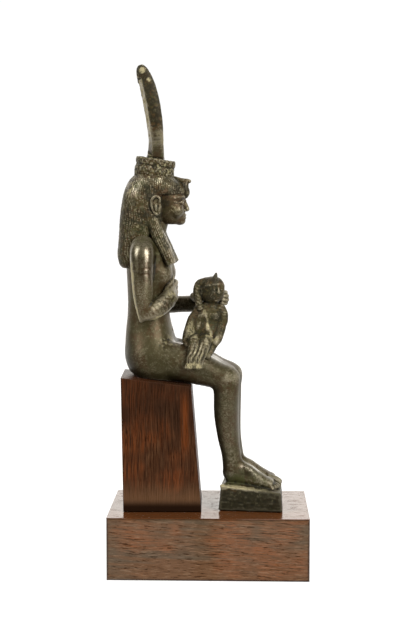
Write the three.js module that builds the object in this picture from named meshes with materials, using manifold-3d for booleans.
// A seated goddess nursing a child: one bronze casting with a stool under its feet, on a wooden seat block
// and a wooden plinth. Millimetres, +Z up. The goddess faces +X, her left side is +Y, and the origin is at the
// middle of the plinth's underside.
import * as THREE from "three";
import { mergeVertices } from "three/addons/utils/BufferGeometryUtils.js";
import Module from "manifold-3d";

// Driving dimensions of the wooden mount.
const PLINTH_LENGTH = 80;
const PLINTH_WIDTH = 52;
const PLINTH_HEIGHT = 25;
const PLINTH_EDGE = 0.8;
const SEAT_WIDTH = 28.6;
const SEAT_TOP_LENGTH = 27.95;
const SEAT_FOOT_LENGTH = 31.2;
const SEAT_BACK_LEAN = 0.8; // how far its back leans out at the top
const SEAT_EDGE = 0.35;
const REST_GAP = 0.3; // between the pieces where one stands on another

// Driving dimensions of the bronze.
const FIGURE_HEIGHT = 167.4; // from the heels to the tips of the horns
const STOOL_LENGTH = 25.7;
const STOOL_WIDTH = 24; // at the heels
const STOOL_TOE_WIDTH = 26.6;
const STOOL_HEIGHT = 10.1; // at the heels
const STOOL_FALL = 2.4; // how much lower its top is at the toes
const STOOL_LEAN = 0.8; // how far each end leans in at the top
const STOOL_EDGE = 0.4;
const MODIUS_DIAMETER = 16.1;
const MODIUS_HEIGHT = 7.8;
const DISC_DIAMETER = 19;
const DISC_THICKNESS = 2.2;

// The free form is carved as it lies when the figure has its reference height, with X and Y measured from
// the plinth's middle and Z from its underside. It is scaled about the heels to the height above.
const REFERENCE_HEIGHT = 167.4;
const REFERENCE_HEEL = 35.4;
const SCALE = FIGURE_HEIGHT / REFERENCE_HEIGHT;
const HEEL_Z = PLINTH_HEIGHT + REST_GAP + STOOL_HEIGHT;
const FIGURE_TURN = THREE.MathUtils.degToRad(-4); // the bronze stands a little askew on its plinth
const TURN_X = -3;
const STOOL_HEEL_X = 4.8;
const STOOL_TOE_SKEW = 0.045; // how fast its toe end falls back towards her left side
const SEAT_TURN = THREE.MathUtils.degToRad(1.5); // and the seat is a little askew the other way
const SEAT_MIDDLE_Y = -0.9;
const SEAT_BACK_X = -35.3;
const SEAT_BACK_TOP = 79.15;
const SEAT_SLOPE = 0.12; // the seat falls towards its front, under the thighs

const MODIUS_FOOT = [-22.8, 0, 158.6];
const MODIUS_TILT = THREE.MathUtils.degToRad(9);
const CROWN_SINK = 1.4; // how far the crown's foot is sunk into the modius
const CROWN_FOOT_Z = MODIUS_FOOT[2] + MODIUS_HEIGHT / SCALE - CROWN_SINK;
const HORN_TIP_Z = REFERENCE_HEEL + REFERENCE_HEIGHT;
const HORN_TIP_HALF_DEPTH = 1.85;
const DISC_LIFT = 3.5; // from the crown's foot to the disc's lowest point
const CROWN_X = -21.8;
const CROWN_LEAN_START = 168;
const CROWN_LEAN = 6.3; // how far the tips lie behind the crown's foot
const CROWN_LEAN_POWER = 2.2;
const CROWN_TURN = THREE.MathUtils.degToRad(7.7); // the crown sits a little askew on the modius

const LIMB_SIDES = 11;
const BODY_SIDES = 20;

const wasm = await Module();
wasm.setup();

const bronze = new THREE.MeshStandardMaterial({ color: 0x3a3424, roughness: 0.42, metalness: 0.8 });
const wood = new THREE.MeshStandardMaterial({ color: 0x3c1d12, roughness: 0.35, metalness: 0 });

function toSolid(geometry) {
  const bare = geometry.clone();
  bare.deleteAttribute("normal");
  bare.deleteAttribute("uv");
  const merged = mergeVertices(bare, 1e-4);
  return new wasm.Manifold(
    new wasm.Mesh({
      numProp: 3,
      vertProperties: merged.attributes.position.array,
      triVerts: new Uint32Array(merged.index.array),
    }),
  );
}

function toGeometry(solid) {
  const mesh = solid.getMesh();
  const geometry = new THREE.BufferGeometry();
  geometry.setAttribute("position", new THREE.BufferAttribute(new Float32Array(mesh.vertProperties), 3));
  geometry.setIndex(new THREE.BufferAttribute(new Uint32Array(mesh.triVerts), 1));
  geometry.computeVertexNormals();
  return geometry;
}

// Rows of numbers on one smooth curve, sampled at even steps from the first row to the last.
function resample(rows, steps) {
  const last = rows.length - 1;
  const row = (k) => rows[THREE.MathUtils.clamp(k, 0, last)];
  return Array.from({ length: steps + 1 }, (_, i) => {
    const at = (i / steps) * last;
    const k = Math.min(Math.floor(at), last - 1);
    const t = at - k;
    return row(k).map((value, c) => {
      const next = row(k + 1)[c];
      const slope = (next - row(k - 1)[c]) / 2;
      const nextSlope = (row(k + 2)[c] - value) / 2;
      const bend = 3 * (next - value) - 2 * slope - nextSlope;
      const twist = 2 * (value - next) + slope + nextSlope;
      return value + t * (slope + t * (bend + t * twist));
    });
  });
}

// A closed loft: a cylinder whose rings are laid on sections { centre, across, through, width, depth, square }.
function loft(sections, sides) {
  const last = sections.length - 1;
  const geometry = new THREE.CylinderGeometry(1, 1, 1, sides, last);
  const position = geometry.attributes.position;
  const point = new THREE.Vector3();
  for (let i = 0; i < position.count; i++) {
    const section = sections[Math.round((position.getY(i) + 0.5) * last)];
    const u = position.getX(i);
    const v = position.getZ(i);
    const power = section.square;
    const size = 1 / Math.max((Math.abs(u) ** power + Math.abs(v) ** power) ** (1 / power), 0.5);
    point
      .copy(section.centre)
      .addScaledVector(section.across, u * size * section.width)
      .addScaledVector(section.through, v * size * section.depth);
    position.setXYZ(i, point.x, point.y, point.z);
  }
  return geometry;
}

// A form stacked from level sections [z, back x, front x, half width, squareness].
function stack(rows, steps, sides = BODY_SIDES) {
  const sections = resample(rows, steps).map(([z, back, front, half, square]) => ({
    centre: new THREE.Vector3((back + front) / 2, 0, z),
    across: new THREE.Vector3(0, 1, 0),
    through: new THREE.Vector3(1, 0, 0),
    width: half,
    depth: (front - back) / 2,
    square,
  }));
  return loft(sections, sides);
}

// A limb through knots [x, y, z, half width, half depth], its width lying along the given direction.
// Its ends are domed, or cut flat where dome is 0.
function limb(knots, { across = [0, 1, 0], steps = 8, sides = LIMB_SIDES, square = 2, dome = 1 } = {}) {
  const rows = resample(knots.map((k) => (k.length < 5 ? [...k, k[3]] : k)), steps);
  const points = rows.map(([x, y, z]) => new THREE.Vector3(x, y, z));
  const side = new THREE.Vector3(...across);
  const sections = rows.map(([, , , width, depth], i) => {
    const before = points[Math.max(i - 1, 0)];
    const along = points[Math.min(i + 1, steps)].clone().sub(before).normalize();
    const flat = side.clone().addScaledVector(along, -side.dot(along)).normalize();
    return { centre: points[i], along, across: flat, through: flat.clone().cross(along), width, depth, square };
  });
  const domed = (section, sign, angle) => ({
    ...section,
    centre: section.centre
      .clone()
      .addScaledVector(section.along, sign * dome * Math.sin(angle) * Math.min(section.width, section.depth)),
    width: section.width * Math.cos(angle),
    depth: section.depth * Math.cos(angle),
  });
  const angles = dome > 0 ? [1.2, 0.65] : [];
  return loft(
    [
      ...angles.map((angle) => domed(sections[0], -1, angle)),
      ...sections,
      ...angles.toReversed().map((angle) => domed(sections[steps], 1, angle)),
    ],
    sides,
  );
}

function ellipsoid([x, y, z], [rx, ry, rz], turn = 0, sides = LIMB_SIDES) {
  return new THREE.SphereGeometry(1, sides, Math.round(sides * 0.6))
    .rotateX(Math.PI / 2)
    .scale(rx, ry, rz)
    .rotateY(turn)
    .translate(x, y, z);
}

// A side outline, [x, z] pairs, carried across the piece with its edges bevelled.
function sideExtrusion(outline, width, bevel) {
  const shape = new THREE.Shape(outline.map(([x, z]) => new THREE.Vector2(x, z)));
  const geometry = new THREE.ExtrudeGeometry(shape, {
    depth: width - 2 * bevel,
    bevelEnabled: bevel > 0,
    bevelThickness: bevel,
    bevelSize: bevel,
    bevelOffset: -bevel,
    bevelSegments: 2,
  });
  return geometry.translate(0, 0, bevel - width / 2).rotateX(Math.PI / 2);
}

// The same limb on her right and her left side; knots give her left.
const mirrored = (knots) => knots.map(([x, y, ...rest]) => [x, -y, ...rest]);

function pair(knots, options) {
  return [limb(knots, options), limb(mirrored(knots), options)];
}

// Where the wood meets the bronze, in the plinth's frame.
const placeX = (x) => x * SCALE;
const placeZ = (z) => HEEL_Z + (z - REFERENCE_HEEL) * SCALE;
const SEAT_FOOT_Z = PLINTH_HEIGHT + REST_GAP;

function seatOutline(gap) {
  const back = placeX(SEAT_BACK_X);
  const backTop = placeZ(SEAT_BACK_TOP) + gap;
  const foot = SEAT_FOOT_Z - gap;
  return [
    [back + SEAT_BACK_LEAN - gap, foot],
    [back + SEAT_BACK_LEAN + SEAT_FOOT_LENGTH + gap, foot],
    [back + SEAT_TOP_LENGTH + gap, backTop - SEAT_TOP_LENGTH * SEAT_SLOPE],
    [back - gap, backTop],
  ];
}

function plinth() {
  const half = PLINTH_LENGTH / 2;
  const outline = [
    [-half, 0],
    [half, 0],
    [half, PLINTH_HEIGHT],
    [-half, PLINTH_HEIGHT],
  ];
  return sideExtrusion(outline, PLINTH_WIDTH, PLINTH_EDGE);
}

const setSeat = (geometry) => geometry.translate(0, SEAT_MIDDLE_Y, 0).rotateZ(SEAT_TURN);

function seat() {
  return setSeat(sideExtrusion(seatOutline(0), SEAT_WIDTH, SEAT_EDGE));
}

function stool() {
  const top = PLINTH_HEIGHT + REST_GAP + STOOL_HEIGHT;
  const heel = placeX(STOOL_HEEL_X);
  const outline = [
    [heel, PLINTH_HEIGHT + REST_GAP],
    [heel + STOOL_LENGTH, PLINTH_HEIGHT + REST_GAP],
    [heel + STOOL_LENGTH - STOOL_LEAN, top - STOOL_FALL],
    [heel + STOOL_LEAN, top],
  ];
  const block = sideExtrusion(outline, STOOL_WIDTH, STOOL_EDGE);
  const position = block.attributes.position;
  for (let i = 0; i < position.count; i++) {
    const share = (position.getX(i) - heel) / STOOL_LENGTH;
    const y = position.getY(i) * (1 + (STOOL_TOE_WIDTH / STOOL_WIDTH - 1) * share);
    position.setY(i, y);
    position.setX(i, position.getX(i) - STOOL_TOE_SKEW * share * (y + STOOL_TOE_WIDTH / 2));
  }
  return block;
}

// The goddess's trunk from the seat to the neck, and the neck itself.
function trunk() {
  const body = stack(
    [
      [77.5, -29.5, -12, 11.5, 2.4],
      [81.5, -33.0, -11, 13.8, 2.4],
      [87, -34.4, -12, 14.0, 2.3],
      [92, -34.3, -13.6, 12.9, 2.3],
      [97, -34.0, -15.1, 11.3, 2.3],
      [103, -33.4, -16.5, 10.4, 2.3],
      [110, -33.2, -16.8, 10.8, 2.3],
      [117, -33.4, -16, 12.0, 2.3],
      [124, -33.5, -15.4, 13.4, 2.3],
      [130, -32.4, -17, 13.4, 2.2],
      [134, -30, -19.5, 10.4, 2.1],
      [136.4, -28, -20.5, 6.4, 2],
    ],
    11,
  );
  const neck = stack(
    [
      [129, -28.5, -17.2, 5.9, 2],
      [135, -27.5, -17.8, 5.0, 2],
      [140, -27, -16.8, 4.9, 2],
      [144, -27, -15, 5.2, 2],
    ],
    4,
    LIMB_SIDES,
  );
  const breasts = [-1, 1].map((side) => ellipsoid([-18.2, side * 5.9, 119.6], [3.9, 4.5, 4.5]));
  return [body, neck, ...breasts];
}

// The face is a plain calm one: chin, cheeks, brow and a straight nose.
function face() {
  const head = stack(
    [
      [139.7, -20, -12.4, 2.8, 2],
      [141.3, -22, -10.9, 4.7, 2.1],
      [144.5, -24, -10.1, 6.4, 2.2],
      [148, -25, -9.8, 7.3, 2.2],
      [152, -25, -9.8, 7.7, 2.2],
      [156, -25, -11.4, 7.2, 2.1],
      [158.6, -24, -14.5, 5, 2],
    ],
    8,
    18,
  );
  const nose = limb(
    [
      [-10.2, 0, 149.6, 0.7],
      [-9.5, 0, 147.4, 0.9],
      [-9.1, 0, 145.8, 1.25],
    ],
    { steps: 2, sides: 8 },
  );
  return [head, nose];
}

// The long wig falls down the back and in two lappets over the shoulders on to the breast; the ears stand free.
function wig() {
  const hair = stack(
    [
      [122.2, -35.4, -27, 9.0, 2.6],
      [123.8, -36.5, -26, 9.8, 2.6],
      [127.2, -37.2, -25, 10.3, 2.5],
      [131.5, -36.9, -23, 10.9, 2.4],
      [136.5, -36.6, -20.2, 11.3, 2.4],
      [141, -36.3, -18.6, 11.3, 2.4],
      [146, -35.8, -17.4, 11.2, 2.3],
      [150.3, -35.1, -14.6, 10.9, 2.3],
      [153.4, -34.3, -9.9, 10.3, 2.3],
      [156.2, -33.1, -11.6, 9.7, 2.2],
      [158.7, -31.2, -14.5, 8.6, 2.1],
      [160.0, -29.3, -16.8, 6.8, 2],
    ],
    12,
  );
  const rightLappet = [
    [-22.8, -8.6, 143, 2.2, 3.0],
    [-21.3, -8.8, 139.6, 2.4, 2.4],
    [-19.0, -8.5, 134, 3.2, 2.5],
    [-16.7, -7.9, 129.3, 3.7, 2.3],
    [-14.7, -7.4, 124.4, 3.9, 2.0],
  ];
  const leftLappet = [
    [-23.2, 8.6, 143, 2.2, 3.0],
    [-22.2, 8.8, 139.6, 2.4, 2.5],
    [-20.6, 8.5, 134, 3.2, 2.5],
    [-18.2, 7.9, 129.3, 3.7, 2.3],
    [-15.5, 7.4, 124.2, 3.9, 2.0],
  ];
  const lappets = [rightLappet, leftLappet].map((knots) => limb(knots, { steps: 5, square: 2.8, dome: 0.25 }));
  const ears = [-1, 1].map((side) => ellipsoid([-21, side * 9.6, 147.3], [2.1, 1.5, 4.1], 0.12));
  return [hair, ...lappets, ...ears];
}

// A rearing cobra at the brow, joined to the modius by its coiled back.
function uraeus() {
  const hood = limb(
    [
      [-10.4, 0, 151.2, 1.0, 1.6],
      [-9.9, 0, 152.6, 1.5, 1.9],
      [-10.2, 0, 154.8, 1.6, 1.8],
      [-9.6, 0, 157.0, 0.95, 1.2],
    ],
    { sides: 8, steps: 5 },
  );
  const back = limb(
    [
      [-16, 0, 158.4, 1.2],
      [-12.4, 0, 157.5, 1.1],
      [-8.3, 0, 157.0, 0.85],
    ],
    { steps: 2, sides: 8 },
  );
  return [hood, back];
}

// The modius is a low drum with a full lower band and a rounded rim, leaning forwards with the head.
function modius() {
  const radius = MODIUS_DIAMETER / 2 / SCALE;
  const height = MODIUS_HEIGHT / SCALE;
  const profile = [
    [0, -0.2],
    [0.96, -0.2],
    [0.98, 0],
    [1, 0.17],
    [1.005, 0.38],
    [0.985, 0.54],
    [0.95, 0.6],
    [0.985, 0.67],
    [1, 0.8],
    [0.985, 0.93],
    [0.93, 1],
    [0, 0.97],
  ].map(([r, z]) => new THREE.Vector2(r * radius, z * height));
  return new THREE.LatheGeometry(profile, 26)
    .rotateX(Math.PI / 2)
    .rotateY(MODIUS_TILT)
    .translate(...MODIUS_FOOT);
}

// Where the middle of the crown's plate lies at a height: it bows backwards towards the tips.
function crownX(z) {
  const rise = Math.max(z - CROWN_LEAN_START, 0) / (HORN_TIP_Z - CROWN_LEAN_START);
  return CROWN_X - CROWN_LEAN * rise ** CROWN_LEAN_POWER;
}

// Two lyre horns round a sun disc, on a short foot. A horn's knots are [y, share of its rise, half width,
// half depth].
function crown() {
  const rise = HORN_TIP_Z - HORN_TIP_HALF_DEPTH - CROWN_FOOT_Z;
  const knots = [
    [2.4, 0.014, 2.9, 2.6],
    [5.2, 0.095, 3.0, 2.4],
    [8.8, 0.243, 3.15, 2.1],
    [10.3, 0.461, 3.5, 2.0],
    [10.5, 0.684, 3.55, 1.9],
    [10.2, 0.852, 3.25, 1.8],
    [9.9, 1, 2.35, HORN_TIP_HALF_DEPTH],
  ].map(([y, share, ...size]) => {
    const z = CROWN_FOOT_Z + share * rise;
    return [crownX(z) - CROWN_X, y, z, ...size];
  });
  const horns = pair(knots, { across: [1, 0, 0], steps: 8, sides: 9, square: 2.8 }).map((horn) =>
    horn.rotateZ(CROWN_TURN).translate(CROWN_X, 0, 0),
  );
  const radius = DISC_DIAMETER / 2 / SCALE;
  const centre = CROWN_FOOT_Z + DISC_LIFT + radius;
  const slope = (crownX(centre + radius) - crownX(centre - radius)) / (2 * radius);
  const disc = new THREE.SphereGeometry(1, 22, 6)
    .rotateZ(Math.PI / 2)
    .scale(DISC_THICKNESS / 2 / SCALE, radius, radius)
    .rotateY(Math.atan(slope))
    .rotateZ(CROWN_TURN)
    .translate((crownX(centre + radius) + crownX(centre - radius)) / 2, 0, centre);
  const foot = limb(
    [
      [CROWN_X - 0.3, 0, CROWN_FOOT_Z - 1, 5.4, 3.8],
      [CROWN_X - 0.2, 0, CROWN_FOOT_Z + 1.6, 4.8, 3.5],
      [CROWN_X - 0.1, 0, CROWN_FOOT_Z + 5.8, 4.2, 2.0],
    ],
    { steps: 3, dome: 0, square: 2.3 },
  );
  return [...horns, disc, foot];
}

// Her right hand lifts the left breast; her left arm goes forward behind the child's neck.
function arms() {
  const upper = [
    [-25.6, 11.8, 130.6, 4.7],
    [-25.45, 14.0, 127.5, 5.0],
    [-25.3, 15.3, 119.5, 4.35],
    [-25.1, 15.9, 112, 4.05],
    [-25.2, 16.2, 106.2, 3.5],
    [-26.0, 16.4, 103.3, 1.9],
  ];
  const rightForearm = [
    [-24.7, -16.2, 105.4, 2.8, 2.8],
    [-21.2, -15.6, 105.6, 3.5, 3.1],
    [-17.9, -12.8, 107.8, 3.6, 2.9],
    [-15.5, -9.0, 110.3, 3.8, 2.7],
    [-14.6, -5.2, 112.8, 4.2, 2.3],
    [-14.4, -1.2, 114.2, 3.4, 1.7],
    [-14.9, 2.8, 115.4, 2.4, 1.2],
  ];
  const leftForearm = [
    [-25, 15.9, 105.4, 3.5],
    [-19.4, 13.4, 106.0, 3.6],
    [-12.6, 10.2, 106.5, 3.4],
    [-7, 7.4, 107.1, 3.4],
    [-2, 4.6, 108.6, 3.4, 2.4],
    [3.0, 2.6, 109.9, 3.2, 1.8],
    [6.2, 0.4, 110.3, 2.9, 1.3],
  ];
  const upright = { across: [0, 0, 1], steps: 7 };
  return [...pair(upper, { steps: 7, square: 2.4 }), limb(rightForearm, upright), limb(leftForearm, upright)];
}

// The legs lie side by side in a close ankle-length dress, so only a shallow groove parts them.
function legs() {
  const thighs = pair(
    [
      [-25, 6.6, 86.6, 7.4, 7.5],
      [-16, 6.7, 85.1, 7.4, 7.9],
      [-8, 6.6, 83.5, 7.0, 7.5],
      [0, 6.4, 80.6, 6.4, 6.0],
      [6.6, 6.3, 78.2, 6.1, 5.1],
    ],
    { sides: 14, steps: 5 },
  );
  const shins = pair(
    [
      [7.4, 6.3, 77.6, 6.0, 5.4],
      [7.4, 6.1, 71, 5.7, 5.1],
      [7.4, 5.8, 63, 5.3, 4.95],
      [8.15, 5.5, 54, 4.7, 4.3],
      [9.3, 5.1, 47, 4.2, 3.9],
      [9.9, 5.0, 40, 3.7, 3.9],
    ],
    { sides: 14, steps: 6 },
  );
  const dress = [
    limb(
      [
        [-24, 0, 86.6, 6.6, 7.2],
        [-8, 0, 83.6, 6.6, 6.7],
        [6, 0, 78.6, 6.2, 4.6],
      ],
      { square: 3, steps: 3 },
    ),
    limb(
      [
        [7.0, 0, 78, 6.2, 4.9],
        [7.5, 0, 64, 5.8, 4.4],
        [9.3, 0, 46, 5.0, 3.6],
      ],
      { square: 3, steps: 3, dome: 0.4 },
    ),
  ];
  return [...thighs, ...shins, ...dress];
}

// A bare foot, flatter towards the toes, its sole following the stool's slope.
function feet() {
  const knots = [
    [9.1, 5.0, 38.0, 3.2, 3.1],
    [12.6, 5.0, 39.4, 3.2, 4.5],
    [16.4, 5.1, 38.4, 3.4, 4.0],
    [20.2, 5.2, 36.9, 3.7, 3.1],
    [24, 5.3, 35.6, 3.8, 2.3],
    [27.3, 5.3, 34.6, 3.6, 1.8],
  ];
  return pair(knots, { square: 2.3, dome: 0.8, steps: 5 });
}

// The child sits across her lap with his back to her left hand and his legs over her right thigh.
function child() {
  const body = limb(
    [
      [-2.7, -4.6, 92.4, 6.0, 4.2],
      [-2.0, -4.8, 96.5, 5.9, 3.8],
      [-0.9, -4.8, 101, 5.7, 3.7],
      [0.2, -4.6, 104.8, 5.8, 3.1],
      [1.0, -4.4, 107.0, 2.8, 2.5],
    ],
    { across: [1, 0, 0], sides: 12, steps: 5 },
  );
  const head = ellipsoid([1.3, -4.6, 113.7], [5.1, 5.1, 5.3], 0, 12);
  const neck = limb(
    [
      [1.3, -4.4, 105, 2.5],
      [1.2, -4.5, 110, 2.8],
    ],
    { steps: 2 },
  );
  const uraeusTip = limb(
    [
      [2.5, -8.0, 116.2, 1.6],
      [3.0, -7.8, 118.3, 1.2],
      [3.4, -7.2, 120.4, 0.5],
    ],
    { steps: 2, sides: 8 },
  );
  const sidelock = limb(
    [
      [-1.6, -5.6, 116.9, 1.7],
      [-4.0, -6.0, 114.2, 1.9],
      [-4.1, -6.6, 110.2, 1.8],
      [-3.2, -7.6, 106.4, 1.2],
    ],
    { steps: 4, sides: 8 },
  );
  const rightArm = limb(
    [
      [-4.2, -5.0, 104.9, 2.0],
      [-6.8, -5.6, 100.8, 1.9],
      [-8.4, -6.3, 95.6, 1.9],
      [-8.6, -7.4, 92.4, 1.7],
    ],
    { sides: 8, steps: 4 },
  );
  const leftArm = limb(
    [
      [5.0, -5.0, 105.9, 2.0],
      [6.1, -5.4, 102.4, 2.0],
      [5.0, -6.0, 97.4, 1.9],
      [3.2, -7.8, 92.6, 1.7],
    ],
    { sides: 8, steps: 4 },
  );
  const leg = ([hip, knee, shin, ankle]) =>
    limb(
      [
        [hip, -5.2, 92.8, 2.9],
        [knee, -9.4, 93.3, 2.7],
        [knee, -11.8, 92.0, 2.35],
        [shin, -13.4, 88.6, 2.0],
        [ankle, -14.8, 85.4, 1.8],
      ],
      { across: [1, 0, 0], sides: 8, steps: 5 },
    );
  const leftLeg = leg([-0.3, -0.9, -1.9, -2.8]);
  const rightLeg = leg([-4.6, -5.0, -5.5, -6.1]);
  return [body, head, neck, uraeusTip, sidelock, rightArm, leftArm, leftLeg, rightLeg];
}

function figure() {
  const carved = [
    ...trunk(),
    ...face(),
    ...wig(),
    ...uraeus(),
    modius(),
    ...crown(),
    ...arms(),
    ...legs(),
    ...feet(),
    ...child(),
  ];
  const turn = new THREE.Matrix4()
    .makeTranslation(TURN_X, 0, 0)
    .multiply(new THREE.Matrix4().makeRotationZ(FIGURE_TURN))
    .multiply(new THREE.Matrix4().makeTranslation(-TURN_X, 0, 0));
  const setOnHeels = new THREE.Matrix4()
    .makeTranslation(0, 0, HEEL_Z)
    .multiply(new THREE.Matrix4().makeScale(SCALE, SCALE, SCALE))
    .multiply(new THREE.Matrix4().makeTranslation(0, 0, -REFERENCE_HEEL));
  let whole = toSolid(stool().applyMatrix4(turn));
  for (const form of carved) {
    whole = whole.add(toSolid(form.applyMatrix4(setOnHeels).applyMatrix4(turn)));
  }
  const deep = 4 * SEAT_WIDTH;
  const seatRoom = toSolid(setSeat(sideExtrusion(seatOutline(REST_GAP), deep, 0)));
  return toGeometry(whole.subtract(seatRoom));
}

const object = new THREE.Group();
for (const [name, geometry, material] of [
  ["bronze_figure", figure(), bronze],
  ["seat_block", seat(), wood],
  ["plinth", plinth(), wood],
]) {
  const mesh = new THREE.Mesh(geometry, material);
  mesh.name = name;
  object.add(mesh);
}

export default object;
